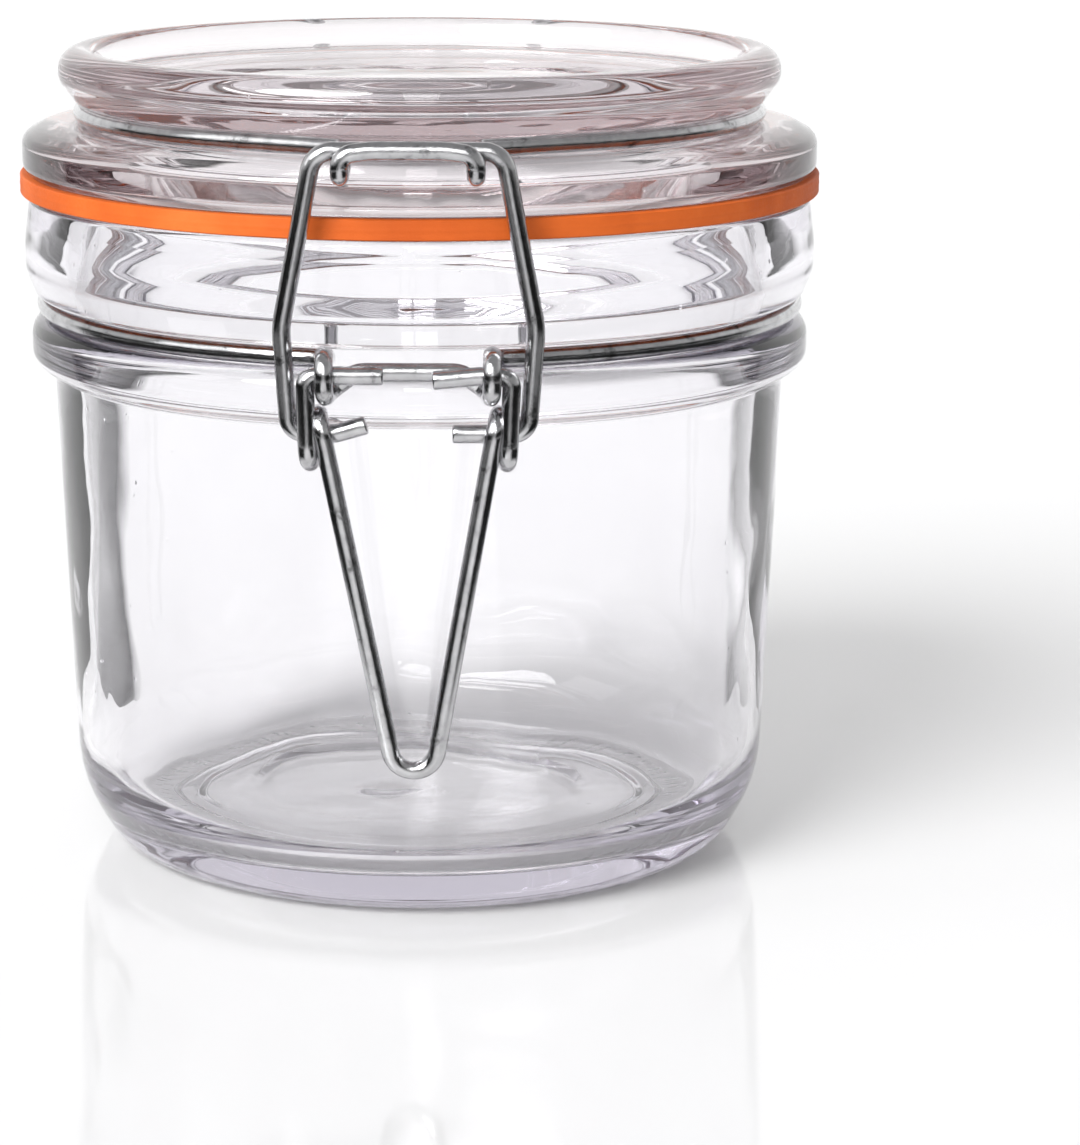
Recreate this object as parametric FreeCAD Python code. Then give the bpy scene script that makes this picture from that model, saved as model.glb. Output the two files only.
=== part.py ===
"""Clip-top glass canister: jar, lid, rubber ring and a four-wire hinge and over-centre clasp.

Millimetres. +Z is up, the jar's axis is the Z axis and its foot stands on z = 0.
The clasp is at the front (-Y), the lid hinge is at the back (+Y), and +X is to the right.
"""
import FreeCAD
import Part
import math
import os

V = FreeCAD.Vector

# ---------------------------------------------------------------- driving dimensions
WIRE_D = 2.1                # every wire has the same gauge
WIRE_R = WIRE_D / 2
SLACK = 0.10                # clearance between two wires that turn on each other
LOOP_R = WIRE_D + SLACK     # centre-line radius of a loop round another wire
EYE_R = LOOP_R + 0.10       # the neck wire's eyes are a little looser

# glass
FOOT_R_IN, FOOT_R_OUT = 31.2, 38.3      # flat ring the jar stands on, before its corners are rounded
WALL_LOW_R, WALL_TOP_R = 43.05, 45.2     # outside of the wall above the heel and below the bead
BEAD_R, BEAD_LOW, BEAD_TOP = 47.9, 60.6, 66.3
NECK_R, NECK_TOP = 44.9, 69.1           # floor and roof of the groove that holds the neck wire
COLLAR_R = 48.55
RIM_Z = 81.5                            # top of the jar's mouth
MOUTH_R = 42.2
FLOOR_Z, PUNT_Z = 5.5, 2.4

# rubber ring
RING_R_IN, RING_R_OUT = 42.9, 49.0
RING_Z, RING_T = RIM_Z + 0.06, 2.44

# lid
SEAL_Z = RING_Z + RING_T + 0.05         # underside of the lid's flange
FLANGE_R, FLANGE_TOP = 48.65, 90.05
GROOVE_R, GROOVE_TOP = 39.9, 92.4
KNOB_R, KNOB_TOP = 44.1, 98.95
DISH_Z = 95.5                           # floor of the dished top
CEILING_Z = 90.3                        # roof of the hollow underside

# lid wire
LID_WIRE_R, LID_WIRE_Z = 41.3, 91.2
NOSE_X, NOSE_Y, NOSE_Z = 7.45, -53.05, 92.1      # crossbar of the nose that the bail hooks behind
NOSE_DROP = 0.45                                 # how far the crossbar's ends lie below its middle
REAR_LEG_X = 14.5

# neck wire
NECK_WIRE_R, NECK_WIRE_Z = 46.15, 67.9
EYE_X = 9.3
HINGE_Y, HINGE_Z = 50.2, NECK_WIRE_Z             # axis of the lid hinge
HINGE_HALF = 18.0                                # half the length of the hinge bar

# clasp pivots and the bail's bar, as (y, z)
PIVOT_Y, PIVOT_Z = -51.4, 67.0                   # lever in the neck wire's eyes
BAIL_Y, BAIL_Z = -49.85, 60.2                    # bail in the lever's loops
BAR_Y, BAR_Z = -50.4, 91.75                      # the bail's bar, behind the nose

# lever
LINK_X, LINK_LOW_X = 11.5, 11.15                 # outer link, at the pivot and at the loop
LEG_X = 9.5                                      # where the V's leg passes the bail's axis
LOOP_BOTTOM_Z = 57.0
TIP_X, TIP_Y, TIP_Z, TIP_R = 0.70, -48.2, 20.5, 2.7
LEG_SLOPE = 0.1835                               # how fast the V closes, x per z

# bail
BAR_CORNER_X = 10.45
KNEE_X, KNEE_Z = 14.15, 72.2
FOOT_X = 13.35


# ---------------------------------------------------------------- helpers
def unit(vector):
    return V(vector).multiply(1.0 / vector.Length)


def rounded_edges(corners, closed=False):
    """Edges along a run of corners (point, radius), with each corner rounded to its radius."""
    points = [V(point) for point, _ in corners]
    count = len(points)
    arcs = []
    for index in range(count):
        radius = corners[index][1]
        if radius <= 0:
            arcs.append((points[index], None, points[index]))
            continue
        before = unit(points[index - 1] - points[index])
        after = unit(points[(index + 1) % count] - points[index])
        half_turn = (math.pi - before.getAngle(after)) / 2
        reach = radius * math.tan(half_turn)
        middle = unit(before + after) * (radius / math.cos(half_turn) - radius)
        arcs.append((points[index] + before * reach, points[index] + middle, points[index] + after * reach))
    edges = []
    last = count if closed else count - 1
    for index in range(count):
        start, middle, end = arcs[index]
        if middle is not None:
            edges.append(Part.Arc(start, middle, end).toShape())
        if index < last:
            following = arcs[(index + 1) % count][0]
            if (following - end).Length > 1e-4:
                edges.append(Part.LineSegment(end, following).toShape())
    return edges


def turned(outline):
    """Solid of revolution about Z from corners (radius, height, corner radius)."""
    corners = [(V(radius, 0, height), rounding) for radius, height, rounding in outline]
    face = Part.Face(Part.Wire(rounded_edges(corners, closed=True)))
    return face.revolve(V(0, 0, 0), V(0, 0, 1), 360)


def bent_wire(edges):
    """Round wire of the common gauge along a chain of tangent edges."""
    path = Part.Wire(Part.__sortEdges__(edges))
    start_edge = path.OrderedEdges[0]
    start = path.OrderedVertexes[0].Point
    at_start = start_edge.ParameterRange[0]
    if (start_edge.valueAt(at_start) - start).Length > 1e-6:
        at_start = start_edge.ParameterRange[1]
    section = Part.Wire(Part.makeCircle(WIRE_R, start, start_edge.tangentAt(at_start)))
    return path.makePipeShell([section], True, False)


def mirrored(corners):
    """The same corners on the other side of the YZ plane."""
    return [(V(-point.x, point.y, point.z), radius) for point, radius in corners]


def ring_arc(radius, height, start, end):
    """Arc of a horizontal ring between two points on it, by way of the +X or -X side."""
    side = math.copysign(radius, start.x)
    return Part.Arc(start, V(side, 0, height), end).toShape()


def on_ring(radius, height, angle):
    """Point at an angle from the front, positive towards +X, and the way the ring runs from there."""
    point = V(radius * math.sin(angle), -radius * math.cos(angle), height)
    along = V(math.cos(angle), math.sin(angle), 0)
    return point, along


def leave_ring(radius, height, x_out, run, front):
    """Where a ring wire leaves its circle so that a straight run ends at x_out, on the -X side."""
    angle = math.asin(x_out / radius)
    for _ in range(20):
        angle = math.asin((x_out + run * math.cos(angle)) / radius)
    point, along = on_ring(radius, height, -angle if front else -(math.pi - angle))
    sense = 1 if front else -1
    return point, point + along * (run * sense)


# ---------------------------------------------------------------- glass jar
def glass_jar():
    return turned([
        (FOOT_R_IN, 0.0, 0.5),
        (FOOT_R_OUT, 0.0, 6.0),
        (WALL_LOW_R, 8.0, 17.0),
        (WALL_TOP_R, BEAD_LOW - 0.4, 0.8),
        (BEAD_R, BEAD_LOW, 2.3),
        (BEAD_R, BEAD_TOP, 2.3),
        (NECK_R, BEAD_TOP + 0.2, 0.5),
        (NECK_R, NECK_TOP, 0.5),
        (COLLAR_R - 1.25, NECK_TOP + 0.2, 1.0),
        (COLLAR_R - 0.05, NECK_TOP + 3.2, 4.0),
        (COLLAR_R, NECK_TOP + 6.4, 8.0),
        (COLLAR_R - 0.4, RIM_Z - 2.5, 3.0),
        (COLLAR_R - 0.75, RIM_Z, 1.0),
        (MOUTH_R, RIM_Z, 1.4),
        (MOUTH_R, BEAD_TOP, 6.0),
        (MOUTH_R - 0.6, BEAD_LOW, 6.0),
        (MOUTH_R - 1.7, FLOOR_Z, 8.0),
        (24.0, FLOOR_Z - 0.1, 60.0),
        (0.0, FLOOR_Z + 0.5, 0),
        (0.0, PUNT_Z, 0),
        (20.0, PUNT_Z - 0.1, 60.0),
        (27.4, PUNT_Z - 0.3, 0.8),
        (28.6, 1.1, 0.8),
        (30.6, 0.9, 0.5),
    ])


# ---------------------------------------------------------------- glass lid
def glass_lid():
    return turned([
        (FLANGE_R - 0.6, SEAL_Z, 0.5),
        (FLANGE_R, SEAL_Z + 1.0, 1.5),
        (FLANGE_R, FLANGE_TOP - 1.6, 1.7),
        (FLANGE_R - 2.2, FLANGE_TOP - 0.5, 3.0),
        (44.0, FLANGE_TOP - 0.02, 4.0),
        (GROOVE_R, FLANGE_TOP, 0.8),
        (GROOVE_R, GROOVE_TOP, 0.8),
        (KNOB_R - 2.2, GROOVE_TOP - 0.05, 0.5),
        (KNOB_R, GROOVE_TOP + 2.9, 2.0),
        (KNOB_R, KNOB_TOP, 2.6),
        (KNOB_R - 4.0, KNOB_TOP, 1.4),
        (KNOB_R - 5.6, DISH_Z, 2.0),
        (20.0, DISH_Z + 0.1, 60.0),
        (0.0, DISH_Z + 0.4, 0),
        (0.0, CEILING_Z + 0.3, 0),
        (20.0, CEILING_Z, 60.0),
        (33.4, CEILING_Z - 0.7, 4.0),
        (36.8, SEAL_Z - 3.4, 1.2),
        (40.2, SEAL_Z - 3.4, 1.2),
        (41.5, SEAL_Z - 0.8, 1.5),
        (RING_R_IN - 0.3, SEAL_Z, 0.3),
    ])


# ---------------------------------------------------------------- rubber ring
def rubber_ring():
    return turned([
        (RING_R_IN, RING_Z, 0.3),
        (RING_R_OUT, RING_Z, 0.4),
        (RING_R_OUT, RING_Z + RING_T, 0.4),
        (RING_R_IN, RING_Z + RING_T, 0.3),
    ])


# ---------------------------------------------------------------- lid wire
def lid_wire_half():
    """Left half of the nose's crossbar, the nose's leg, the ring, the rear leg and its hinge loop."""
    ring_front, front_corner = leave_ring(LID_WIRE_R, LID_WIRE_Z, NOSE_X, 14.0, True)
    ring_back, back_corner = leave_ring(LID_WIRE_R, LID_WIRE_Z, REAR_LEG_X, 2.6, False)
    nose = [
        (V(0, NOSE_Y, NOSE_Z), 0),
        (V(-4.0, NOSE_Y, NOSE_Z), 10.0),
        (V(-NOSE_X, NOSE_Y, NOSE_Z - NOSE_DROP), 1.65),
        (V(-NOSE_X, NOSE_Y, NOSE_Z - 3.05), 1.15),
        (V(-NOSE_X, NOSE_Y + 4.15, NOSE_Z - 2.8), 2.0),
        (V(-NOSE_X, -46.3, LID_WIRE_Z - 0.15), 3.0),
        (front_corner, 1.8),
        (ring_front, 0),
    ]
    leg_y = HINGE_Y + LOOP_R
    inner_y = HINGE_Y - LOOP_R
    low_z = HINGE_Z - LOOP_R
    high_z = HINGE_Z + LOOP_R
    rear = [
        (ring_back, 0),
        (back_corner, 2.2),
        (V(-REAR_LEG_X, 46.6, LID_WIRE_Z), 4.0),
        (V(-REAR_LEG_X, leg_y, LID_WIRE_Z - 4.6), 4.0),
        (V(-REAR_LEG_X, leg_y, low_z), LOOP_R - 0.001),
        (V(-REAR_LEG_X + 0.7, inner_y, low_z), LOOP_R - 0.001),
        (V(-REAR_LEG_X + 1.5, inner_y, high_z), LOOP_R - 0.001),
        (V(-REAR_LEG_X + 2.2, HINGE_Y + 0.3, high_z), 0),
    ]
    edges = rounded_edges(nose)
    edges.append(ring_arc(LID_WIRE_R, LID_WIRE_Z, ring_front, ring_back))
    edges.extend(rounded_edges(rear))
    return bent_wire(edges)


def lid_wire():
    half = lid_wire_half()
    return half.fuse(half.mirror(V(0, 0, 0), V(1, 0, 0))).removeSplitter().Solids[0]


# ---------------------------------------------------------------- neck wire
def neck_wire_half():
    """Left half of the bar behind the lever's pins, the eye, the ring and the hinge bar."""
    ring_front, front_corner = leave_ring(NECK_WIRE_R, NECK_WIRE_Z, EYE_X, 3.0, True)
    ring_back, back_corner = leave_ring(NECK_WIRE_R, NECK_WIRE_Z, 22.5, 5.0, False)
    reach = math.hypot(front_corner.y - PIVOT_Y, front_corner.z - PIVOT_Z)
    rise = math.asin(EYE_R / reach) - math.atan2(front_corner.z - PIVOT_Z, front_corner.y - PIVOT_Y)
    front_y = PIVOT_Y - EYE_R
    bar_y = PIVOT_Y + EYE_R
    low_z = PIVOT_Z - EYE_R
    top_z = front_corner.z + (front_corner.y - front_y) * math.tan(rise)
    eye = [
        (V(0, bar_y, PIVOT_Z), 0),
        (V(-5.9, bar_y, PIVOT_Z), 3.0),
        (V(-8.9, bar_y + 0.3, low_z), 1.6),
        (V(-EYE_X, front_y, low_z), EYE_R),
        (V(-EYE_X, front_y, top_z), EYE_R),
        (front_corner, 2.2),
        (ring_front, 0),
    ]
    hinge = [
        (ring_back, 0),
        (back_corner, 3.0),
        (V(-HINGE_HALF, HINGE_Y, HINGE_Z), 2.4),
        (V(0, HINGE_Y, HINGE_Z), 0),
    ]
    edges = rounded_edges(eye)
    edges.append(ring_arc(NECK_WIRE_R, NECK_WIRE_Z, ring_front, ring_back))
    edges.extend(rounded_edges(hinge))
    return bent_wire(edges)


def neck_wire():
    half = neck_wire_half()
    return half.fuse(half.mirror(V(0, 0, 0), V(1, 0, 0))).removeSplitter().Solids[0]


# ---------------------------------------------------------------- bail
def bail_wire():
    knee_y = BAR_Y + (BAIL_Y - BAR_Y) * (BAR_Z - KNEE_Z) / (BAR_Z - BAIL_Z)
    half = [
        (V(-FOOT_X, BAIL_Y, BAIL_Z), 2.0),
        (V(-KNEE_X, knee_y, KNEE_Z), 8.0),
        (V(-BAR_CORNER_X, BAR_Y, BAR_Z), 2.6),
    ]
    left_end = [
        (V(-4.7, BAIL_Y, BAIL_Z + 1.0), 0),
        (V(-8.1, BAIL_Y, BAIL_Z), 2.0),
    ]
    right_end = [(V(4.9, BAIL_Y, BAIL_Z), 0)]
    corners = left_end + half + mirrored(half)[::-1] + right_end
    return bent_wire(rounded_edges(corners))


# ---------------------------------------------------------------- lever
def lever_wire():
    lean = (TIP_Y - (PIVOT_Y - 0.72)) / (TIP_Z - BAIL_Z)
    leg_y = PIVOT_Y - 0.72
    top_z = BAIL_Z + LOOP_R
    apex_z = BAIL_Z - LEG_X / LEG_SLOPE
    front_y = BAIL_Y - LOOP_R
    back_y = BAIL_Y + LOOP_R
    half = [
        (V(-LINK_X, PIVOT_Y, PIVOT_Z), 1.3),
        (V(-LINK_LOW_X, front_y - 0.35, LOOP_BOTTOM_Z), LOOP_R),
        (V(-LINK_LOW_X + 0.4, back_y, LOOP_BOTTOM_Z), LOOP_R),
        (V(-LINK_LOW_X + 1.0, back_y, top_z), LOOP_R),
        (V(-LEG_X - LEG_SLOPE * LOOP_R, leg_y + lean * LOOP_R, top_z), LOOP_R),
    ]
    apex = [(V(TIP_X, leg_y + lean * (apex_z - BAIL_Z), apex_z), TIP_R)]
    left_end = [(V(-2.8, PIVOT_Y, PIVOT_Z), 0)]
    right_end = [
        (V(7.9, PIVOT_Y, PIVOT_Z), 3.0),
        (V(2.7, PIVOT_Y, PIVOT_Z - 0.5), 0),
    ]
    corners = left_end + half + apex + mirrored(half)[::-1] + right_end
    return bent_wire(rounded_edges(corners))


# ---------------------------------------------------------------- build
NODES = {
    "glass_jar": glass_jar,
    "glass_lid": glass_lid,
    "rubber_ring": rubber_ring,
    "lid_wire": lid_wire,
    "neck_wire": neck_wire,
    "bail_wire": bail_wire,
    "lever_wire": lever_wire,
}

os.makedirs("parts", exist_ok=True)
for name, make in NODES.items():
    shape = make()
    shape.exportStep(f"parts/{name}.step")
    box = shape.BoundBox
    print(f"{name}: {shape.ShapeType} solids {len(shape.Solids)} valid {shape.isValid()} "
          f"volume {shape.Volume:.1f} z {box.ZMin:.2f}..{box.ZMax:.2f} y {box.YMin:.2f}..{box.YMax:.2f}")
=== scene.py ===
import bpy
import math
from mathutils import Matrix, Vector, noise


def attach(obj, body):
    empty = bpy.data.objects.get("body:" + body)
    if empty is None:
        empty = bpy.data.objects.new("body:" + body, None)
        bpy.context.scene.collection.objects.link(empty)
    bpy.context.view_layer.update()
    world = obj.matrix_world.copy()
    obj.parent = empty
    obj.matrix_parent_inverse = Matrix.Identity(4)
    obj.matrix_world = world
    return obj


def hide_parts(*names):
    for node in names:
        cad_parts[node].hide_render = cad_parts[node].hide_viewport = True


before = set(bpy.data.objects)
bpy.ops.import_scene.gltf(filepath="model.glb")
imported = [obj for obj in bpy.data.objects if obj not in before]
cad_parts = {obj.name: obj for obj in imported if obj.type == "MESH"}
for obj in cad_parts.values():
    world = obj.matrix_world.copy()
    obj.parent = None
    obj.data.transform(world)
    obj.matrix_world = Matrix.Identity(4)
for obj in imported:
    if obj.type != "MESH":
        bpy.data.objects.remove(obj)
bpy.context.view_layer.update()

MM = 0.001
scene = bpy.context.scene

# ------------------------------------------------------------------ dimensions, in millimetres
WIRE_R = 1.05
LOOP_R = 2.2
EYE_R = 2.3
RIM_Z = 81.5
SEAL_Z = 84.05
FLANGE_R, FLANGE_TOP = 48.65, 90.05
GROOVE_R, GROOVE_TOP = 39.9, 92.4
KNOB_R, KNOB_TOP = 44.1, 98.95
DISH_Z, CEILING_Z = 95.5, 90.3
DISH_FLAT_R, CEILING_R = 20.0, 33.4
PLUG_R_IN, PLUG_R_OUT, PLUG_DROP = 36.8, 40.2, 3.4
WALL_LOW_R, WALL_TOP_R = 43.05, 45.2
BEAD_R, BEAD_LOW, BEAD_TOP = 47.9, 60.6, 66.3
NECK_R, NECK_TOP = 44.9, 69.1
COLLAR_R, MOUTH_R = 48.55, 42.2
FLOOR_Z, PUNT_Z = 5.5, 2.4
FLOOR_FLAT_R, PUNT_FLAT_R = 24.0, 20.0
PUNT_R, PUNT_FOOT_R, PUNT_FOOT_Z = 27.4, 28.6, 1.1
FOOT_R_IN, FOOT_R_OUT = 31.2, 38.3
RING_R_IN, RING_R_OUT, RING_Z, RING_T = 42.9, 49.0, 81.56, 2.44
LID_WIRE_R, LID_WIRE_Z = 41.3, 91.2
NOSE_X, NOSE_Y, NOSE_Z = 7.45, -53.05, 92.1
NOSE_DROP = 0.45
REAR_LEG_X = 14.5
NECK_WIRE_R, NECK_WIRE_Z = 46.15, 67.9
EYE_X = 9.3
HINGE_Y, HINGE_Z, HINGE_HALF = 50.2, 67.9, 18.0
PIVOT_Y, PIVOT_Z = -51.4, 67.0
BAIL_Y, BAIL_Z = -49.85, 60.2
BAR_Y, BAR_Z = -50.4, 91.75
LINK_X, LINK_LOW_X, LEG_X = 11.5, 11.15, 9.5
LOOP_BOTTOM_Z = 57.0
TIP_X, TIP_Y, TIP_Z, TIP_R = 0.70, -48.2, 20.5, 2.7
LEG_SLOPE = 0.1835
BAR_CORNER_X, KNEE_X, KNEE_Z, FOOT_X = 10.45, 14.15, 72.2, 13.35
CUT_END = ((0.0, 0.16), (0.10, 0.03), (0.22, 0.0))      # worn edge: along the wire, in from its surface

# slow waves in the blown wall, the mould's seam on the collar, the disc inside,
# the bumps on the ring that the jar stands on, and the mould's mark under the base
OUTER_WAVE, INNER_WAVE = 0.03, 0.28
SEAM_HALF, SEAM_RISE, SEAM_LOW, SEAM_TOP = 0.6, 0.05, 69.5, 80.5
DISC_R, DISC_STEP = 20.5, 0.25
STIPPLE_R_IN, STIPPLE_R_OUT, STIPPLE_RISE = 31.4, 36.8, 0.35
MARK_X, MARK_Y, MARK_RISE = -4.2, 0.5, 1.2
CLOUD_RISE, DISH_CLOUD_RISE = 0.05, 0.03
SPLIT_LINE, RUBBER_WEAR = 0.05, 0.03
FROST_TOP, FROST_LOW = 0.7, 0.3         # the ring that the jar stands on is worn matt below these heights


# ------------------------------------------------------------------ shape helpers
def rounded(corners, closed, degrees, longest):
    """Points along corners (point, radius). degrees is an arc's step, longest the step of a straight run."""
    points = [Vector(p) for p, _ in corners]
    count = len(points)
    anchors = []
    for i in range(count):
        radius = corners[i][1]
        open_end = not closed and i in (0, count - 1)
        if radius <= 0 or open_end:
            anchors.append([points[i]])
            continue
        before = (points[i - 1] - points[i]).normalized()
        after = (points[(i + 1) % count] - points[i]).normalized()
        turn = math.pi - before.angle(after)
        if turn < 1e-4:
            anchors.append([points[i]])
            continue
        reach = radius * math.tan(turn / 2)
        start = points[i] + before * reach
        end = points[i] + after * reach
        centre = points[i] + (before + after).normalized() * (radius / math.cos(turn / 2))
        a, b = start - centre, end - centre
        steps = max(2, math.ceil(math.degrees(turn) / degrees))
        arc = []
        for k in range(steps + 1):
            t = k / steps
            arc.append(centre + (a * math.sin((1 - t) * turn) + b * math.sin(t * turn)) / math.sin(turn))
        anchors.append(arc)
    out = []
    last = count if closed else count - 1
    for i in range(count):
        out.extend(anchors[i])
        if i < last:
            start, end = anchors[i][-1], anchors[(i + 1) % count][0]
            gap = (end - start).length
            steps = max(1, math.ceil(gap / longest))
            out.extend(start.lerp(end, k / steps) for k in range(1, steps))
    clean = [out[0]]
    for p in out[1:]:
        if (p - clean[-1]).length > 1e-4:
            clean.append(p)
    if closed and (clean[0] - clean[-1]).length < 1e-4:
        clean.pop()
    return clean


def new_object(name, verts, faces, uvs=None):
    mesh = bpy.data.meshes.new(name)
    mesh.from_pydata([v * MM for v in verts], [], faces)
    mesh.validate()
    mesh.polygons.foreach_set("use_smooth", [True] * len(mesh.polygons))
    if uvs:
        layer = mesh.uv_layers.new(name="UVMap")
        for loop in mesh.loops:
            layer.data[loop.index].uv = uvs[loop.vertex_index]
    mesh.update()
    obj = bpy.data.objects.new(name, mesh)
    scene.collection.objects.link(obj)
    return obj


def lathe(name, outline, segments, longest, relief=None):
    """Surface of revolution about Z. relief(r, z, angle) gives a small (dr, dz) in millimetres."""
    corners = [((r, 0.0, z), radius) for r, z, radius in outline]
    profile = [(p.x, p.z) for p in rounded(corners, True, 9, longest)]
    on_axis = [i for i, (r, _) in enumerate(profile) if r < 1e-5]
    closed = not on_axis
    if on_axis:
        first = next(i for i in on_axis if profile[(i + 1) % len(profile)][0] > 1e-5)
        profile = profile[first:] + profile[:first]
        last = next(i for i in range(1, len(profile)) if profile[i][0] < 1e-5)
        profile = profile[:last + 1]
    verts, faces, rings = [], [], []
    for r, z in profile:
        if r < 1e-5:
            rings.append([len(verts)] * segments)
            verts.append(Vector((0, 0, z)))
            continue
        ring = []
        for k in range(segments):
            angle = 2 * math.pi * k / segments
            dr, dz = relief(r, z, angle) if relief else (0.0, 0.0)
            ring.append(len(verts))
            verts.append(Vector(((r + dr) * math.sin(angle), -(r + dr) * math.cos(angle), z + dz)))
        rings.append(ring)
    spans = len(rings) if closed else len(rings) - 1
    for i in range(spans):
        low, high = rings[i], rings[(i + 1) % len(rings)]
        for k in range(segments):
            n = (k + 1) % segments
            quad = [low[k], low[n], high[n], high[k]]
            faces.append([v for j, v in enumerate(quad) if v != quad[j - 1]])
    return new_object(name, verts, faces)


def wire(name, path, closed=False, sides=24):
    """Round wire along a chain of points, with the cut ends worn a little."""
    count = len(path)
    tangents = []
    for i in range(count):
        before = path[i - 1] if closed or i else path[i]
        after = path[(i + 1) % count] if closed or i < count - 1 else path[i]
        tangents.append((after - before).normalized())
    normals = [tangents[0].orthogonal().normalized()]
    lengths = [0.0]
    for i in range(1, count):
        turn = tangents[i - 1].rotation_difference(tangents[i])
        normal = turn @ normals[-1]
        normals.append((normal - tangents[i] * normal.dot(tangents[i])).normalized())
        lengths.append(lengths[-1] + (path[i] - path[i - 1]).length)
    twist = 0.0
    if closed:
        turn = tangents[-1].rotation_difference(tangents[0])
        carried = turn @ normals[-1]
        twist = math.atan2(carried.cross(normals[0]).dot(tangents[0]), carried.dot(normals[0]))
    rings = [(i, 0.0, 0.0) for i in range(count)]
    if not closed:
        rings[:1] = [(0, along, inset) for along, inset in CUT_END]
        rings[-1:] = [(count - 1, -along, inset) for along, inset in reversed(CUT_END)]
    verts, faces, uvs = [], [], []
    for i, along, inset in rings:
        side = tangents[i].cross(normals[i])
        for k in range(sides):
            angle = 2 * math.pi * k / sides + twist * i / count
            out = normals[i] * math.cos(angle) + side * math.sin(angle)
            verts.append(path[i] + tangents[i] * along + out * (WIRE_R - inset))
            uvs.append((k / sides, lengths[i] / 10.0))
    for i in range(len(rings) if closed else len(rings) - 1):
        a, b = i * sides, ((i + 1) % len(rings)) * sides
        for k in range(sides):
            n = (k + 1) % sides
            faces.append([a + k, a + n, b + n, b + k])
    if not closed:
        faces.append(list(range(sides))[::-1])
        faces.append([(len(rings) - 1) * sides + k for k in range(sides)])
    return new_object(name, verts, faces, uvs)


def mirror_run(run):
    return [((-p[0], p[1], p[2]), r) for p, r in run][::-1]


def ring_leave(radius, height, x_out, run, front):
    """Where a ring wire leaves its circle, on the -X side, and the end of its straight run."""
    angle = math.asin(x_out / radius)
    for _ in range(20):
        angle = math.asin((x_out + run * math.cos(angle)) / radius)
    bearing = -angle if front else -(math.pi - angle)
    point = Vector((radius * math.sin(bearing), -radius * math.cos(bearing), height))
    along = Vector((math.cos(bearing), math.sin(bearing), 0)) * (run if front else -run)
    return point, point + along, bearing


def arc_points(radius, height, start, end, step=1.5):
    steps = max(2, math.ceil(abs(math.degrees(end - start)) / step))
    bearings = [start + (end - start) * k / steps for k in range(steps + 1)]
    return [Vector((radius * math.sin(b), -radius * math.cos(b), height)) for b in bearings]


def join(*runs):
    out = []
    for run in runs:
        for p in run:
            if not out or (p - out[-1]).length > 1e-3:
                out.append(p)
    return out


def flipped(run):
    return [Vector((-p.x, p.y, p.z)) for p in reversed(run)]


def bends(corners):
    return rounded(corners, False, 7, 1.2)


# ------------------------------------------------------------------ glass shapes
def smooth_step(low, high, value):
    t = min(1.0, max(0.0, (value - low) / (high - low)))
    return t * t * (3 - 2 * t)


def flow(r, angle, z, size, seed):
    """Slow waves in blown glass, from -1 to 1."""
    p = Vector((math.sin(angle) * r / size, math.cos(angle) * r / size, z / size * 0.45 + seed))
    return noise.noise(p) + 0.4 * noise.noise(p * 2.3)


def jar_relief(r, z, angle):
    """What the mould and the blowing leave on the jar, as a small (dr, dz)."""
    dr = dz = 0.0
    x, y = r * math.sin(angle), -r * math.cos(angle)
    outer = r > MOUTH_R + 0.4 or z < FLOOR_Z - 0.5
    # the wall's waves start above the heel and die out below the bead
    if outer and z > 7.0:
        wall = smooth_step(7.0, 16.0, z) * (1 - smooth_step(36.0, 50.0, z))
        dr -= OUTER_WAVE * wall * abs(flow(r, angle, z, 17.0, 3.1))
        seam_gap = abs(math.remainder(angle, math.pi)) * r
        if SEAM_LOW < z < SEAM_TOP and seam_gap < SEAM_HALF:
            dr += SEAM_RISE * (1 - (seam_gap / SEAM_HALF) ** 2)
    if not outer and z < RIM_Z - 3.5:
        wall = smooth_step(6.5, 16.0, z) * (1 - smooth_step(36.0, 52.0, z))
        dr += INNER_WAVE * wall * flow(r, angle, z * 1.7, 19.0, 9.4)
    if not outer and r < 36 and z < 9:
        dz += CLOUD_RISE * flow(r, angle, r * 0.3, 13.0, 5.2) * smooth_step(2.0, 14.0, r)
        disc_edge = smooth_step(DISC_R - 1, DISC_R + 1, r) * (1 - smooth_step(29.0, 35.0, r))
        dz += DISC_STEP * disc_edge
    if z < 0.6 and STIPPLE_R_IN < r < STIPPLE_R_OUT:
        across = math.sin(math.pi * smooth_step(STIPPLE_R_IN, STIPPLE_R_OUT, r))
        dz += STIPPLE_RISE * across * max(0.0, noise.noise(Vector((x * 0.75, y * 0.75, 4.0))))
    if z < 3.0 and r < 12.0:
        mark = math.exp(-((x - MARK_X) / 1.9) ** 2 - ((y - MARK_Y) / 1.6) ** 2)
        dz -= MARK_RISE * mark * (0.7 + 0.5 * flow(r, angle, z, 2.5, 2.2))
    return dr, dz


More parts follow.
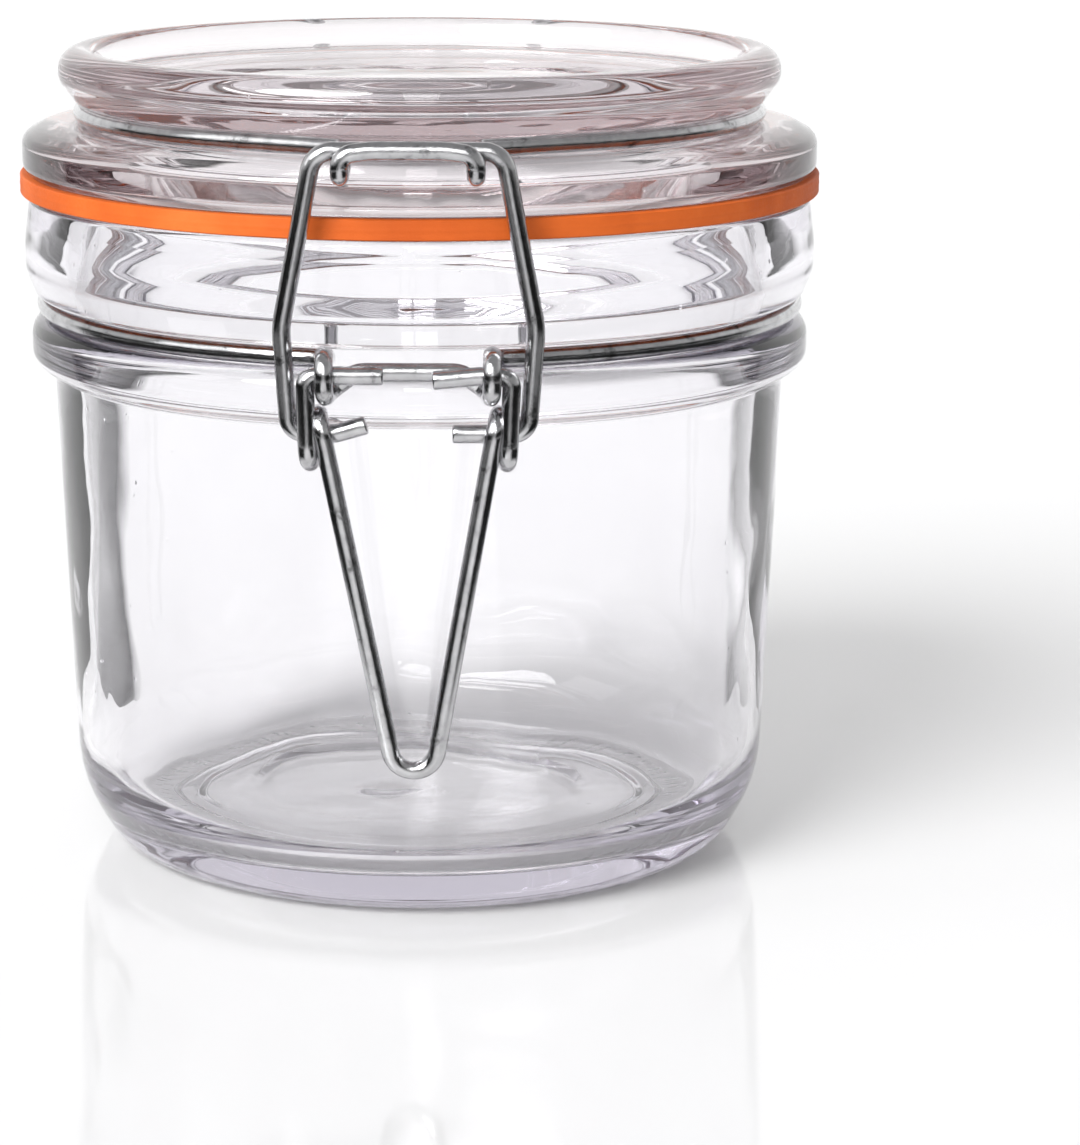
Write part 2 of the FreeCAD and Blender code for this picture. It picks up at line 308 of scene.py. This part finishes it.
# outlines: (radius, height, how round the corner is)
JAR = [
    (FOOT_R_IN, 0.0, 0.5), (FOOT_R_OUT, 0.0, 6.0), (WALL_LOW_R, 8.0, 17.0),
    (WALL_TOP_R, BEAD_LOW - 0.4, 0.8), (BEAD_R, BEAD_LOW, 2.3), (BEAD_R, BEAD_TOP, 2.3),
    (NECK_R, BEAD_TOP + 0.2, 0.5), (NECK_R, NECK_TOP, 0.5),
    (COLLAR_R - 1.25, NECK_TOP + 0.2, 1.0), (COLLAR_R - 0.05, NECK_TOP + 3.2, 4.0),
    (COLLAR_R, NECK_TOP + 6.4, 8.0), (COLLAR_R - 0.4, RIM_Z - 2.5, 3.0),
    (COLLAR_R - 0.75, RIM_Z, 1.0), (MOUTH_R, RIM_Z, 1.4), (MOUTH_R, BEAD_TOP, 6.0),
    (MOUTH_R - 0.6, BEAD_LOW, 6.0), (MOUTH_R - 1.7, FLOOR_Z, 8.0),
    (FLOOR_FLAT_R, FLOOR_Z - 0.1, 60.0), (0.0, FLOOR_Z + 0.5, 0), (0.0, PUNT_Z, 0),
    (PUNT_FLAT_R, PUNT_Z - 0.1, 60.0), (PUNT_R, PUNT_Z - 0.3, 0.8), (PUNT_FOOT_R, PUNT_FOOT_Z, 0.8),
    (PUNT_FOOT_R + 2.0, PUNT_FOOT_Z - 0.2, 0.5),
]
LID = [
    (FLANGE_R - 0.6, SEAL_Z, 0.5), (FLANGE_R, SEAL_Z + 1.0, 1.5), (FLANGE_R, FLANGE_TOP - 1.6, 1.7),
    (FLANGE_R - 2.2, FLANGE_TOP - 0.5, 3.0), (44.0, FLANGE_TOP - 0.02, 4.0),
    (GROOVE_R, FLANGE_TOP, 0.8), (GROOVE_R, GROOVE_TOP, 0.8),
    (KNOB_R - 2.2, GROOVE_TOP - 0.05, 0.5), (KNOB_R, GROOVE_TOP + 2.9, 2.0), (KNOB_R, KNOB_TOP, 2.6),
    (KNOB_R - 4.0, KNOB_TOP, 1.4), (KNOB_R - 5.6, DISH_Z, 2.0), (DISH_FLAT_R, DISH_Z + 0.1, 60.0),
    (0.0, DISH_Z + 0.4, 0), (0.0, CEILING_Z + 0.3, 0), (DISH_FLAT_R, CEILING_Z, 60.0),
    (CEILING_R, CEILING_Z - 0.7, 4.0), (PLUG_R_IN, SEAL_Z - PLUG_DROP, 1.2),
    (PLUG_R_OUT, SEAL_Z - PLUG_DROP, 1.2), (PLUG_R_OUT + 1.3, SEAL_Z - 0.8, 1.5),
    (RING_R_IN - 0.3, SEAL_Z, 0.3),
]
RUBBER = [
    (RING_R_IN, RING_Z, 0.3), (RING_R_OUT, RING_Z, 0.4),
    (RING_R_OUT, RING_Z + RING_T, 0.4), (RING_R_IN, RING_Z + RING_T, 0.3),
]


def lid_relief(r, z, angle):
    """Clouding of the sunk top and of the ceiling below it."""
    if r < 36 and z > DISH_Z - 1:
        inside = smooth_step(2, 12, r) * (1 - smooth_step(33, 36, r))
        return 0.0, DISH_CLOUD_RISE * flow(r, angle, r * 0.3, 13.0, 1.7) * inside
    if r < 33 and z < GROOVE_TOP - 0.4:
        inside = smooth_step(2, 12, r) * (1 - smooth_step(29, 33, r))
        return 0.0, CLOUD_RISE * flow(r, angle, r * 0.3, 12.0, 7.7) * inside
    return 0.0, 0.0


def rubber_relief(r, z, angle):
    """The mould's split line half way up the ring's edge, and wear beside it."""
    if r < RING_R_OUT - 0.02:
        return 0.0, 0.0
    line = math.exp(-((z - RING_Z - RING_T / 2) / 0.12) ** 2)
    wear = abs(noise.noise(Vector((math.sin(angle) * 9, math.cos(angle) * 9, z))))
    return SPLIT_LINE * (line - 1) - RUBBER_WEAR * wear, 0.0


# ------------------------------------------------------------------ wire shapes, from their left halves
def lid_wire_path():
    """Nose at the front, hoop in the lid's groove, and two legs that end round the hinge bar."""
    front, corner_f, bearing_f = ring_leave(LID_WIRE_R, LID_WIRE_Z, NOSE_X, 14.0, True)
    back, corner_b, bearing_b = ring_leave(LID_WIRE_R, LID_WIRE_Z, REAR_LEG_X, 2.6, False)
    nose = bends([
        ((0, NOSE_Y, NOSE_Z), 0), ((-4.0, NOSE_Y, NOSE_Z), 10.0),
        ((-NOSE_X, NOSE_Y, NOSE_Z - NOSE_DROP), 1.65), ((-NOSE_X, NOSE_Y, NOSE_Z - 3.05), 1.15),
        ((-NOSE_X, NOSE_Y + 4.15, NOSE_Z - 2.8), 2.0), ((-NOSE_X, -46.3, LID_WIRE_Z - 0.15), 3.0),
        (corner_f, 1.8), (front, 0),
    ])
    leg_y, inner_y = HINGE_Y + LOOP_R, HINGE_Y - LOOP_R
    low_z, high_z = HINGE_Z - LOOP_R, HINGE_Z + LOOP_R
    tight = LOOP_R - 0.001
    rear = bends([
        (back, 0), (corner_b, 2.2), ((-REAR_LEG_X, 46.6, LID_WIRE_Z), 4.0),
        ((-REAR_LEG_X, leg_y, LID_WIRE_Z - 4.6), 4.0), ((-REAR_LEG_X, leg_y, low_z), tight),
        ((-REAR_LEG_X + 0.7, inner_y, low_z), tight), ((-REAR_LEG_X + 1.5, inner_y, high_z), tight),
        ((-REAR_LEG_X + 2.2, HINGE_Y + 0.3, high_z), 0),
    ])
    half = join(nose, arc_points(LID_WIRE_R, LID_WIRE_Z, bearing_f, bearing_b), rear)
    return join(flipped(half), half)


def neck_wire_path():
    """Bridge and two eyes at the front, hoop in the jar's groove, and the hinge bar at the back."""
    front, corner_f, bearing_f = ring_leave(NECK_WIRE_R, NECK_WIRE_Z, EYE_X, 3.0, True)
    back, corner_b, bearing_b = ring_leave(NECK_WIRE_R, NECK_WIRE_Z, 22.5, 5.0, False)
    reach = math.hypot(corner_f.y - PIVOT_Y, corner_f.z - PIVOT_Z)
    rise = math.asin(EYE_R / reach) - math.atan2(corner_f.z - PIVOT_Z, corner_f.y - PIVOT_Y)
    front_y, bar_y, low_z = PIVOT_Y - EYE_R, PIVOT_Y + EYE_R, PIVOT_Z - EYE_R
    top_z = corner_f.z + (corner_f.y - front_y) * math.tan(rise)
    eye = bends([
        ((0, bar_y, PIVOT_Z), 0), ((-5.9, bar_y, PIVOT_Z), 3.0), ((-8.9, bar_y + 0.3, low_z), 1.6),
        ((-EYE_X, front_y, low_z), EYE_R), ((-EYE_X, front_y, top_z), EYE_R), (corner_f, 2.2), (front, 0),
    ])
    hinge = bends([
        (back, 0), (corner_b, 3.0), ((-HINGE_HALF, HINGE_Y, HINGE_Z), 2.4), ((0, HINGE_Y, HINGE_Z), 0),
    ])
    half = join(eye, arc_points(NECK_WIRE_R, NECK_WIRE_Z, bearing_f, bearing_b), hinge)
    loop = join(flipped(half), half)
    return loop[:-1]


def bail_wire_path():
    """Loop with its bar over the nose, and two cut ends that turn in the lever's loops."""
    knee_y = BAR_Y + (BAIL_Y - BAR_Y) * (BAR_Z - KNEE_Z) / (BAR_Z - BAIL_Z)
    half = [
        ((-FOOT_X, BAIL_Y, BAIL_Z), 2.0), ((-KNEE_X, knee_y, KNEE_Z), 8.0),
        ((-BAR_CORNER_X, BAR_Y, BAR_Z), 2.6),
    ]
    left_end = [((-4.7, BAIL_Y, BAIL_Z + 1.0), 0), ((-8.1, BAIL_Y, BAIL_Z), 2.0)]
    return bends(left_end + half + mirror_run(half) + [((4.9, BAIL_Y, BAIL_Z), 0)])


def lever_wire_path():
    """V with a loop at each side for the bail, and two cut ends that turn in the neck wire's eyes."""
    leg_y = PIVOT_Y - 0.72
    lean = (TIP_Y - leg_y) / (TIP_Z - BAIL_Z)
    top_z, apex_z = BAIL_Z + LOOP_R, BAIL_Z - LEG_X / LEG_SLOPE
    front_y, back_y = BAIL_Y - LOOP_R, BAIL_Y + LOOP_R
    half = [
        ((-LINK_X, PIVOT_Y, PIVOT_Z), 1.3), ((-LINK_LOW_X, front_y - 0.35, LOOP_BOTTOM_Z), LOOP_R),
        ((-LINK_LOW_X + 0.4, back_y, LOOP_BOTTOM_Z), LOOP_R), ((-LINK_LOW_X + 1.0, back_y, top_z), LOOP_R),
        ((-LEG_X - LEG_SLOPE * LOOP_R, leg_y + lean * LOOP_R, top_z), LOOP_R),
    ]
    apex = [((TIP_X, leg_y + lean * (apex_z - BAIL_Z), apex_z), TIP_R)]
    right_end = [((7.9, PIVOT_Y, PIVOT_Z), 3.0), ((2.7, PIVOT_Y, PIVOT_Z - 0.5), 0)]
    return bends([((-2.8, PIVOT_Y, PIVOT_Z), 0)] + half + apex + mirror_run(half) + right_end)


# ------------------------------------------------------------------ materials
GLASS_IOR = 1.5
DEPTH_DENSITY = 20.0                    # per metre, for the tint that grows with the glass's depth
# painted light: how brightly the floor glows where it is seen through glass
PAINTED_GLOW_BEHIND_GLASS = 0.14


def material(name):
    mat = bpy.data.materials.new(name)
    mat.use_nodes = True
    tree = mat.node_tree
    return mat, tree.nodes, tree.links, tree.nodes["Principled BSDF"]


def noise_node(nodes, links, coords, scale, detail, rough=0.55):
    node = nodes.new("ShaderNodeTexNoise")
    node.inputs["Scale"].default_value = scale
    node.inputs["Detail"].default_value = detail
    node.inputs["Roughness"].default_value = rough
    links.new(coords, node.inputs["Vector"])
    return node


def ramp_node(nodes, links, source, stops):
    node = nodes.new("ShaderNodeValToRGB")
    elements = node.color_ramp.elements
    while len(elements) < len(stops):
        elements.new(0.5)
    for element, (position, value) in zip(elements, stops):
        element.position = position
        element.color = (*value, 1.0) if isinstance(value, tuple) else (value, value, value, 1.0)
    links.new(source, node.inputs["Fac"])
    return node


def bump_node(nodes, links, height, strength, distance, normal=None):
    node = nodes.new("ShaderNodeBump")
    node.inputs["Strength"].default_value = strength
    node.inputs["Distance"].default_value = distance
    links.new(height, node.inputs["Height"])
    if normal:
        links.new(normal, node.inputs["Normal"])
    return node


def math_node(nodes, links, operation, first, second):
    """Math node on two sockets or numbers. It gives its output."""
    node = nodes.new("ShaderNodeMath")
    node.operation = operation
    for value, socket in zip((first, second), node.inputs):
        if isinstance(value, float):
            socket.default_value = value
        else:
            links.new(value, socket)
    return node.outputs[0]


def glass_material(name, tint_low, tint_high, depth_tint, frost=0.0):
    """Clear glass, tinted by its depth. frost is the roughness of a worn ring that it stands on."""
    mat, nodes, links, shader = material(name)
    shader.inputs["Transmission Weight"].default_value = 1.0
    shader.inputs["IOR"].default_value = GLASS_IOR
    depth = nodes.new("ShaderNodeVolumeAbsorption")
    depth.inputs["Color"].default_value = (*depth_tint, 1.0)
    depth.inputs["Density"].default_value = DEPTH_DENSITY
    links.new(depth.outputs["Volume"], nodes["Material Output"].inputs["Volume"])
    coords = nodes.new("ShaderNodeTexCoord").outputs["Object"]
    cloud = noise_node(nodes, links, coords, 60.0, 3.0)
    tint = ramp_node(nodes, links, cloud.outputs["Fac"], [(0.35, tint_low), (0.65, tint_high)])
    links.new(tint.outputs["Color"], shader.inputs["Base Color"])
    smear = noise_node(nodes, links, coords, 140.0, 5.0, 0.65)
    rough = ramp_node(nodes, links, smear.outputs["Fac"], [(0.45, 0.0), (0.85, 0.035)])
    level = nodes.new("ShaderNodeSeparateXYZ")
    links.new(coords, level.inputs[0])
    worn = nodes.new("ShaderNodeMapRange")
    worn.inputs["From Min"].default_value = FROST_TOP * MM
    worn.inputs["From Max"].default_value = FROST_LOW * MM
    worn.inputs["To Max"].default_value = frost
    links.new(level.outputs["Z"], worn.inputs["Value"])
    roughest = math_node(nodes, links, "MAXIMUM", rough.outputs["Color"], worn.outputs["Result"])
    links.new(roughest, shader.inputs["Roughness"])
    ripple = noise_node(nodes, links, coords, 95.0, 2.0)
    seeds = nodes.new("ShaderNodeTexVoronoi")
    seeds.inputs["Scale"].default_value = 190.0
    links.new(coords, seeds.inputs["Vector"])
    pits = ramp_node(nodes, links, seeds.outputs["Distance"], [(0.0, 1.0), (0.055, 0.0)])
    waves = bump_node(nodes, links, ripple.outputs["Fac"], 0.05, 0.0006)
    marks = bump_node(nodes, links, pits.outputs["Color"], 0.15, 0.0002, waves.outputs["Normal"])
    links.new(marks.outputs["Normal"], shader.inputs["Normal"])
    return mat


def steel_material(name):
    """Zinc-plated drawn wire: lines along it, and small dark stains that are also pits."""
    mat, nodes, links, shader = material(name)
    shader.inputs["Metallic"].default_value = 1.0
    tex = nodes.new("ShaderNodeTexCoord")
    coords = tex.outputs["Object"]
    stretch = nodes.new("ShaderNodeMapping")
    stretch.inputs["Scale"].default_value = (40.0, 1.6, 1.0)
    links.new(tex.outputs["UV"], stretch.inputs["Vector"])
    drawn = noise_node(nodes, links, stretch.outputs["Vector"], 3.0, 4.0, 0.6)
    stain = noise_node(nodes, links, coords, 420.0, 6.0, 0.62)
    shades = [(0.28, (0.10, 0.10, 0.10)), (0.42, (0.48, 0.48, 0.49)), (0.70, (0.62, 0.62, 0.63))]
    colour = ramp_node(nodes, links, stain.outputs["Fac"], shades)
    links.new(colour.outputs["Color"], shader.inputs["Base Color"])
    mix = math_node(nodes, links, "MULTIPLY", drawn.outputs["Fac"], stain.outputs["Fac"])
    rough = ramp_node(nodes, links, mix, [(0.10, 0.06), (0.50, 0.17)])
    links.new(rough.outputs["Color"], shader.inputs["Roughness"])
    lines = bump_node(nodes, links, drawn.outputs["Fac"], 0.25, 0.00006)
    pits = ramp_node(nodes, links, stain.outputs["Fac"], [(0.26, 0.0), (0.40, 1.0)])
    dents = bump_node(nodes, links, pits.outputs["Color"], 0.35, 0.00006, lines.outputs["Normal"])
    links.new(dents.outputs["Normal"], shader.inputs["Normal"])
    return mat


def rubber_material(name):
    """Orange rubber in slightly uneven shades, with a fine dry grain."""
    mat, nodes, links, shader = material(name)
    coords = nodes.new("ShaderNodeTexCoord").outputs["Object"]
    patch = noise_node(nodes, links, coords, 90.0, 4.0)
    shades = [(0.30, (0.55, 0.095, 0.010)), (0.55, (0.66, 0.125, 0.016)), (0.75, (0.72, 0.16, 0.028))]
    colour = ramp_node(nodes, links, patch.outputs["Fac"], shades)
    links.new(colour.outputs["Color"], shader.inputs["Base Color"])
    grain = noise_node(nodes, links, coords, 2600.0, 3.0, 0.7)
    rough = ramp_node(nodes, links, grain.outputs["Fac"], [(0.3, 0.48), (0.7, 0.68)])
    links.new(rough.outputs["Color"], shader.inputs["Roughness"])
    shader.inputs["Specular IOR Level"].default_value = 0.25
    bump = bump_node(nodes, links, grain.outputs["Fac"], 0.3, 0.00008)
    links.new(bump.outputs["Normal"], shader.inputs["Normal"])
    return mat


def floor_material(name):
    """Pale, slightly glossy floor. Where it is seen through glass it glows a little: painted light that
    lightens the jar's shadow seen there, standing in for the light that glass gathers.
    """
    mat, nodes, links, shader = material(name)
    coords = nodes.new("ShaderNodeTexCoord").outputs["Object"]
    cloud = noise_node(nodes, links, coords, 3.0, 3.0)
    shades = [(0.3, (0.83, 0.83, 0.833)), (0.7, (0.845, 0.845, 0.848))]
    colour = ramp_node(nodes, links, cloud.outputs["Fac"], shades)
    links.new(colour.outputs["Color"], shader.inputs["Base Color"])
    rough = ramp_node(nodes, links, cloud.outputs["Fac"], [(0.3, 0.05), (0.7, 0.07)])
    links.new(rough.outputs["Color"], shader.inputs["Roughness"])
    # painted light: the floor glows only where it is seen through glass, lightening the shadow there
    behind_glass = nodes.new("ShaderNodeLightPath").outputs["Is Transmission Ray"]
    painted_glow = math_node(nodes, links, "MULTIPLY", behind_glass, PAINTED_GLOW_BEHIND_GLASS)
    links.new(painted_glow, shader.inputs["Emission Strength"])
    shader.inputs["Emission Color"].default_value = (1.0, 0.99, 1.0, 1.0)
    return mat


# ------------------------------------------------------------------ pieces
def place(obj, mat, node, body):
    obj.data.materials.append(mat)
    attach(obj, body)
    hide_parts(node)
    return obj


LAVENDER = ((0.965, 0.962, 0.972), (0.985, 0.983, 0.990), (0.60, 0.57, 0.65))
ROSE = ((0.960, 0.944, 0.950), (0.984, 0.970, 0.975), (0.60, 0.50, 0.52))
jar_glass = glass_material("jar_glass", *LAVENDER, frost=0.6)
lid_glass = glass_material("lid_glass", *ROSE)
steel = steel_material("drawn_steel")
rubber = rubber_material("orange_rubber")

JAR_SEGMENTS, LID_SEGMENTS = 720, 360
jar_body = lathe("jar_body", JAR, JAR_SEGMENTS, 1.0, jar_relief)
lid_body = lathe("lid_body", LID, LID_SEGMENTS, 1.0, lid_relief)
sealing_ring = lathe("sealing_ring", RUBBER, LID_SEGMENTS, 0.2, rubber_relief)
place(jar_body, jar_glass, "glass_jar", "jar")
place(lid_body, lid_glass, "glass_lid", "lid")
place(sealing_ring, rubber, "rubber_ring", "lid")
place(wire("lid_hoop", lid_wire_path()), steel, "lid_wire", "lid")
place(wire("neck_hoop", neck_wire_path(), closed=True), steel, "neck_wire", "jar")
place(wire("bail", bail_wire_path()), steel, "bail_wire", "bail")
place(wire("lever", lever_wire_path()), steel, "lever_wire", "lever")

# ------------------------------------------------------------------ stage: floor and surroundings
STAGE_Z, STAGE_HALF = -0.02, 6000
floor_corners = [Vector((x * STAGE_HALF, y * STAGE_HALF, STAGE_Z))
                 for x, y in ((-1, -1), (1, -1), (1, 1), (-1, 1))]
floor = new_object("floor", floor_corners, [[0, 1, 2, 3]])
floor.data.materials.append(floor_material("floor_white"))


def studio_world():
    """Pale surroundings: brightest straight ahead, darker at the sides, at the back and overhead."""
    world = bpy.data.worlds.new("studio")
    world.use_nodes = True
    nodes, links = world.node_tree.nodes, world.node_tree.links
    split = nodes.new("ShaderNodeSeparateXYZ")
    links.new(nodes.new("ShaderNodeTexCoord").outputs["Generated"], split.inputs[0])
    bearing = math_node(nodes, links, "ARCTAN2", split.outputs["X"], split.outputs["Y"])
    turn = nodes.new("ShaderNodeMath")
    turn.operation = "MULTIPLY_ADD"
    turn.inputs[1].default_value = 1 / (2 * math.pi)
    turn.inputs[2].default_value = 0.5
    links.new(bearing, turn.inputs[0])
    # 0 and 1 are behind the camera, 0.5 is straight ahead, 0.25 is to the left and 0.75 to the right
    sides = ramp_node(nodes, links, turn.outputs[0], [
        (0.00, 0.38), (0.12, 0.38), (0.22, 0.42), (0.36, 0.86), (0.44, 1.0),
        (0.56, 1.0), (0.64, 0.86), (0.78, 0.42), (0.88, 0.38), (1.00, 0.38)])
    height = ramp_node(nodes, links, split.outputs["Z"], [(0.35, 0.0), (0.70, 1.0)])
    lift = nodes.new("ShaderNodeMix")
    lift.data_type = "RGBA"
    links.new(height.outputs["Color"], lift.inputs["Factor"])
    links.new(sides.outputs["Color"], lift.inputs["A"])
    lift.inputs["B"].default_value = (0.32, 0.32, 0.325, 1.0)
    links.new(lift.outputs["Result"], nodes["Background"].inputs["Color"])
    nodes["Background"].inputs["Strength"].default_value = 1.12
    return world


scene.world = studio_world()


# ------------------------------------------------------------------ lights, in metres and watts
def area(name, place_at, size, power):
    data = bpy.data.lights.new(name, "AREA")
    data.shape = "RECTANGLE"
    data.size, data.size_y = size
    data.energy = power
    obj = bpy.data.objects.new(name, data)
    obj.location = place_at
    obj.rotation_euler = (AIM - Vector(place_at)).to_track_quat("-Z", "Y").to_euler()
    scene.collection.objects.link(obj)


def sun(name, bearing, height, spread, strength):
    """Sun from a bearing, clockwise from the front as seen from above, and a height, in degrees."""
    data = bpy.data.lights.new(name, "SUN")
    data.energy = strength
    data.angle = math.radians(spread)
    obj = bpy.data.objects.new(name, data)
    turned, raised = math.radians(bearing), math.radians(height)
    level = math.cos(raised)
    towards = Vector((math.sin(turned) * level, -math.cos(turned) * level, math.sin(raised)))
    obj.rotation_euler = towards.to_track_quat("Z", "Y").to_euler()
    scene.collection.objects.link(obj)


AIM = Vector((0, 0, 0.05))
area("front_strip", (0.05, -1.3, 0.75), (0.26, 0.8), 3.0)
area("left_box", (-1.1, -0.35, 0.7), (0.5, 0.8), 2.0)
sun("key", -36, 36, 34, 3.4)


# ------------------------------------------------------------------ dark cards, in millimetres
def card(name, base, top, rays, shade, rim, fade_stops, back_clear=False):
    """Dark card that only the named rays see, so that it darkens what the glass or the wires show.

    It runs from the points of base to those of top. rim is how far it fades in from its two ends.
    With back_clear it is seen only from the side that its normals point to.
    """
    n = len(base)
    faces = [[i, i + 1, n + i + 1, n + i] for i in range(n - 1)]
    uvs = [(i / (n - 1), v) for v in (0.0, 1.0) for i in range(n)]
    obj = new_object(name, [Vector(p) for p in base + top], faces, uvs)
    mat, nodes, links, shader = material(name + "_card")
    shader.inputs["Base Color"].default_value = (shade, shade, shade, 1)
    shader.inputs["Roughness"].default_value = 0.9
    shader.inputs["Specular IOR Level"].default_value = 0.0
    across = nodes.new("ShaderNodeSeparateXYZ")
    links.new(nodes.new("ShaderNodeTexCoord").outputs["UV"], across.inputs[0])
    rim_stops = [(0.0, 0.0), (rim, 1.0), (1.0 - rim, 1.0), (1.0, 0.0)]
    edge = ramp_node(nodes, links, across.outputs["X"], rim_stops)
    fade = ramp_node(nodes, links, across.outputs["Y"], fade_stops)
    alpha = math_node(nodes, links, "MULTIPLY", edge.outputs["Color"], fade.outputs["Color"])
    if back_clear:
        behind = nodes.new("ShaderNodeNewGeometry").outputs["Backfacing"]
        alpha = math_node(nodes, links, "MULTIPLY", alpha, math_node(nodes, links, "SUBTRACT", 1.0, behind))
    links.new(alpha, shader.inputs["Alpha"])
    obj.data.materials.append(mat)
    obj.visible_camera = False
    obj.visible_diffuse = False
    obj.visible_shadow = False
    obj.visible_glossy = rays == "glossy"
    obj.visible_transmission = rays == "transmission"


def arc_at(radius, bearings, z):
    return [(radius * math.sin(math.radians(b)), -radius * math.cos(math.radians(b)), z) for b in bearings]


STANDING = [(0.0, 0.55), (0.35, 1.0), (0.85, 1.0), (1.0, 0.0)]
LYING = [(0.0, 0.0), (0.12, 1.0), (1.0, 1.0)]
FULL = [(0.0, 1.0), (0.92, 1.0), (1.0, 0.0)]
SOFT = [(0.0, 0.0), (0.3, 1.0), (0.7, 1.0), (1.0, 0.0)]
CARD_R, CARD_R_IN, CARD_TOP = 270, 78, 110
LOW_Z, LYING_Z = 0.05, 0.1
EDGE_TOP, COLLAR_LOW, COLLAR_TOP, COLLAR_SPREAD = 52.0, 50.0, 62.0, 1.18
EDGE_Y, EDGE_STEP_X, EDGE_STEP_Y = 60, 29, 16

# in front, for the wires and the glass's gloss: bearings run so that the normals face the jar, or up
for side, standing, lying in (("left", range(-12, -113, -10), range(-22, -113, -10)),
                              ("right", range(112, 5, -10), range(112, 21, -10))):
    card("front_card_" + side, arc_at(CARD_R, standing, 0.0), arc_at(CARD_R, standing, CARD_TOP), "glossy",
         0.02, 0.03, STANDING, back_clear=True)
    card("floor_card_" + side, arc_at(CARD_R_IN, lying, LYING_Z), arc_at(CARD_R, lying, LYING_Z), "glossy",
         0.02, 0.04, LYING, back_clear=True)

# behind and to the sides, for the dark edges inside the glass
for side, out, start, shade in (("left", -1, 52, 0.002), ("right", 1, 56, 0.006)):
    run = [(out * (start + k * EDGE_STEP_X), EDGE_Y + k * EDGE_STEP_Y) for k in range(5)]
    base, top = ([(x, y, z) for x, y in run] for z in (LOW_Z, EDGE_TOP))
    card("edge_card_" + side, base, top, "transmission", shade, 0.05, FULL)
    base, top = ([(x * COLLAR_SPREAD, y, z) for x, y in run] for z in (COLLAR_LOW, COLLAR_TOP))
    card("collar_card_" + side, base, top, "transmission", shade, 0.12, SOFT)

# ------------------------------------------------------------------ camera, in metres
CAM_TURN, CAM_PITCH = math.radians(1.4), math.radians(13.198)
CAM_BACK, CAM_UP = 0.4546, 0.1388
FOCAL, SHIFT_X, SHIFT_Y = 116.2, 0.1052, 0.0033
camera_data = bpy.data.cameras.new("camera")
camera_data.sensor_width = 36.0
camera_data.lens = FOCAL
camera_data.shift_x = SHIFT_X
camera_data.shift_y = SHIFT_Y
camera = bpy.data.objects.new("camera", camera_data)
camera.location = (CAM_BACK * math.sin(CAM_TURN), -CAM_BACK * math.cos(CAM_TURN), CAM_UP)
camera.rotation_euler = (math.pi / 2 - CAM_PITCH, 0, CAM_TURN)
scene.collection.objects.link(camera)
scene.camera = camera

scene.view_settings.view_transform = "Standard"
# light turns many times inside thick glass before it leaves
LIGHT_TURNS = 24
scene.cycles.max_bounces = LIGHT_TURNS
scene.cycles.transmission_bounces = LIGHT_TURNS
scene.cycles.glossy_bounces = LIGHT_TURNS
